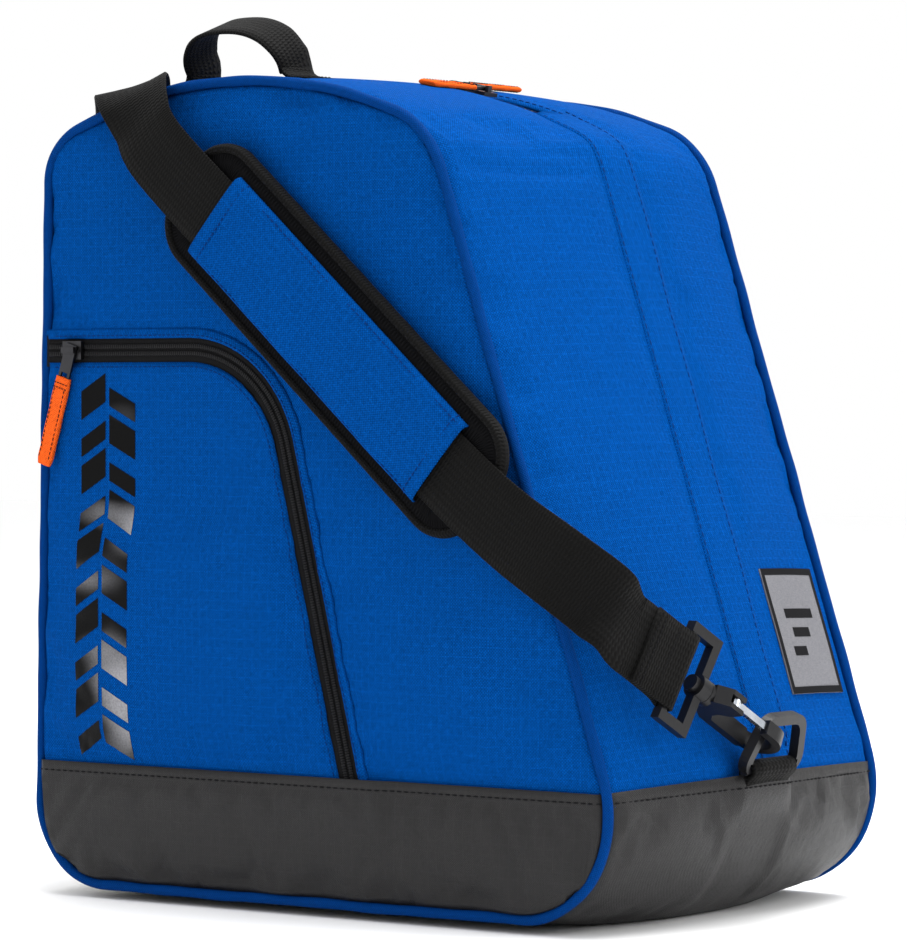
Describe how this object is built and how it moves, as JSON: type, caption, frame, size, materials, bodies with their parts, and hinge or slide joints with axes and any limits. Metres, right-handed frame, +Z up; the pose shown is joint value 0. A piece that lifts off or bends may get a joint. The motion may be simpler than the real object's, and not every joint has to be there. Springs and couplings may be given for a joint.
{
  "type": "boot bag",
  "caption": "Boot-shaped clamshell bag in blue ripstop with a charcoal lower band, grab handle, zip pocket and a clip-on padded shoulder strap",
  "frame": {"origin": "centre of the depth under the base, on the plane the bag stands on", "axes": "X towards the toe side, Y from the pocket panel to the rear panel, Z up"},
  "size_m": [0.4111, 0.2514, 0.4305],
  "materials": {
    "blue_ripstop": "royal blue ripstop, fine square grid, faint sheen",
    "blue_piping": "blue binding round a cord",
    "grey_coated": "charcoal ripstop with a coated, half-gloss face",
    "base_cloth": "black coated base cloth",
    "board": "stiffening sheet",
    "black_webbing": "ribbed black webbing",
    "zip_tape": "herringbone zip tape",
    "zip_coil": "black nylon coil",
    "dark_metal": "gunmetal die-cast",
    "orange_tape": "orange folded tape with black stitching",
    "black_plastic": "moulded black acetal",
    "bright_steel": "plated spring steel",
    "pad_black": "black mesh with bound edge",
    "label_weave": "grey woven label"
  },
  "bodies": {
    "bag_shell": {"front_panel": "blue_ripstop", "front_band": "grey_coated", "front_piping": "blue_piping", "gusset_front": "blue_ripstop", "band_heel": "grey_coated", "band_toe": "grey_coated", "base_panel": "base_cloth", "base_board": "board", "back_band": "grey_coated", "back_piping_lower": "blue_piping", "pocket_panel": "blue_ripstop", "pocket_zip_tape": "zip_tape", "pocket_zip_coil": "zip_coil", "main_zip_tape_front": "zip_tape", "main_zip_coil_front": "zip_coil", "storm_flap_right": "blue_ripstop", "storm_flap_left": "blue_ripstop", "handle_foot_left": "black_webbing", "handle_foot_right": "black_webbing", "ring_tab_right": "black_webbing", "ring_tab_left": "black_webbing", "strap_webbing": "black_webbing", "strap_end_right": "black_webbing", "strap_end_left": "black_webbing"},
    "rear_half": {"gusset_rear": "blue_ripstop", "back_panel": "blue_ripstop", "back_piping_upper": "blue_piping", "main_zip_tape_rear": "zip_tape", "main_zip_coil_rear": "zip_coil", "label_patch": "label_weave"},
    "slider_right": {"main_slider_right": "dark_metal"},
    "pull_right": {"main_pull_link_right": "dark_metal", "main_pull_tab_right": "orange_tape"},
    "slider_left": {"main_slider_left": "dark_metal"},
    "pull_left": {"main_pull_link_left": "dark_metal", "main_pull_tab_left": "orange_tape"},
    "slider_pocket": {"pocket_slider": "dark_metal"},
    "pull_pocket": {"pocket_pull_link": "dark_metal", "pocket_pull_tab": "orange_tape"},
    "grab_handle": {"top_handle": "black_webbing"},
    "d_ring_right": {"ring_right": "black_plastic"},
    "d_ring_left": {"ring_left": "black_plastic"},
    "loop_right": {"strap_loop_right": "black_plastic"},
    "hook_right": {"snap_hook_right": "black_plastic"},
    "gate_right": {"hook_gate_right": "bright_steel"},
    "loop_left": {"strap_loop_left": "black_plastic"},
    "hook_left": {"snap_hook_left": "black_plastic"},
    "gate_left": {"hook_gate_left": "bright_steel"},
    "adjuster": {"strap_adjuster": "black_plastic"},
    "shoulder_pad": {"pad_base": "pad_black", "pad_binding": "pad_black", "pad_sleeve": "blue_ripstop"}
  },
  "joints": [
    {"name": "rear_half_lean", "type": "hinge", "parent": "bag_shell", "child": "rear_half", "pos_m": [0, 0.1176, 0.065], "axis": [-1, 0, 0], "range_deg": [0, 30], "deforming": ["storm_flap_right", "storm_flap_left"]},
    {"name": "slider_right_run", "type": "hinge", "parent": "rear_half", "child": "slider_right", "pos_m": [-0.04792, 0.017, 0.13263], "axis": [0, 1, 0], "range_deg": [0, 7.5]},
    {"name": "pull_right_flip", "type": "hinge", "parent": "slider_right", "child": "pull_right", "pos_m": [0.00154, 0.017, 0.39952], "axis": [-0.9833, 0, 0.1822], "range_deg": [0, 165]},
    {"name": "slider_left_run", "type": "hinge", "parent": "rear_half", "child": "slider_left", "pos_m": [-0.04792, 0.017, 0.13263], "axis": [0, 1, 0], "range_deg": [-25, 0]},
    {"name": "pull_left_flip", "type": "hinge", "parent": "slider_left", "child": "pull_left", "pos_m": [-0.01202, 0.017, 0.40168], "axis": [0.9912, 0, -0.1323], "range_deg": [0, 165]},
    {"name": "pocket_slider_run", "type": "slide", "parent": "bag_shell", "child": "slider_pocket", "axis": [1, 0, 0], "range_m": [0, 0.06]},
    {"name": "pocket_pull_swing", "type": "hinge", "parent": "slider_pocket", "child": "pull_pocket", "pos_m": [-0.148, -0.1216, 0.269], "axis": [0, 1, 0], "range_deg": [-70, 25]},
    {"name": "grab_handle_tilt", "type": "hinge", "parent": "bag_shell", "child": "grab_handle", "pos_m": [-0.0635, -0.086, 0.40577], "axis": [1, 0, 0], "range_deg": [-60, 35]},
    {"name": "ring_right_tilt", "type": "hinge", "parent": "bag_shell", "child": "d_ring_right", "pos_m": [0.1841, -0.006, 0.072], "axis": [0, 1, 0], "range_deg": [-1.5, 3]},
    {"name": "ring_left_tilt", "type": "hinge", "parent": "bag_shell", "child": "d_ring_left", "pos_m": [-0.18902, -0.006, 0.072], "axis": [0, -1, 0], "range_deg": [-3, 5]},
    {"name": "loop_right_tilt", "type": "hinge", "parent": "bag_shell", "child": "loop_right", "pos_m": [0.18008, -0.07744, 0.12085], "axis": [0.0887, 0.5028, 0.8599], "range_deg": [-1.2, 1.2]},
    {"name": "hook_right_swivel", "type": "hinge", "parent": "loop_right", "child": "hook_right", "pos_m": [0.18285, -0.06178, 0.1114], "axis": [0.1493, 0.8468, -0.5105], "range_deg": [-8, 12]},
    {"name": "gate_right_press", "type": "hinge", "parent": "hook_right", "child": "gate_right", "pos_m": [0.19417, -0.05002, 0.10484], "axis": [-0.0493, 0.5221, 0.8515], "range_deg": [0, 22], "stiffness_Nm_per_rad": 0.02},
    {"name": "loop_left_tilt", "type": "hinge", "parent": "bag_shell", "child": "loop_left", "pos_m": [-0.19757, -0.01156, 0.15905], "axis": [0, 0.9962, 0.0872], "range_deg": [-0.5, 2.5]},
    {"name": "hook_left_swivel", "type": "hinge", "parent": "loop_left", "child": "hook_left", "pos_m": [-0.19757, -0.00995, 0.14062], "axis": [0, 0.0872, -0.9962], "range_deg": [-15, 15]},
    {"name": "gate_left_press", "type": "hinge", "parent": "hook_left", "child": "gate_left", "pos_m": [-0.20677, -0.00864, 0.12568], "axis": [0, -0.9962, -0.0872], "range_deg": [0, 22], "stiffness_Nm_per_rad": 0.02},
    {"name": "adjuster_run", "type": "slide", "parent": "bag_shell", "child": "adjuster", "axis": [0.1165, -0.0959, 0.9885], "range_m": [-0.02, 0.05]},
    {"name": "pad_run", "type": "slide", "parent": "bag_shell", "child": "shoulder_pad", "axis": [0.7511, 0, -0.6601], "range_m": [-0.015, 0.02]}
  ]
}
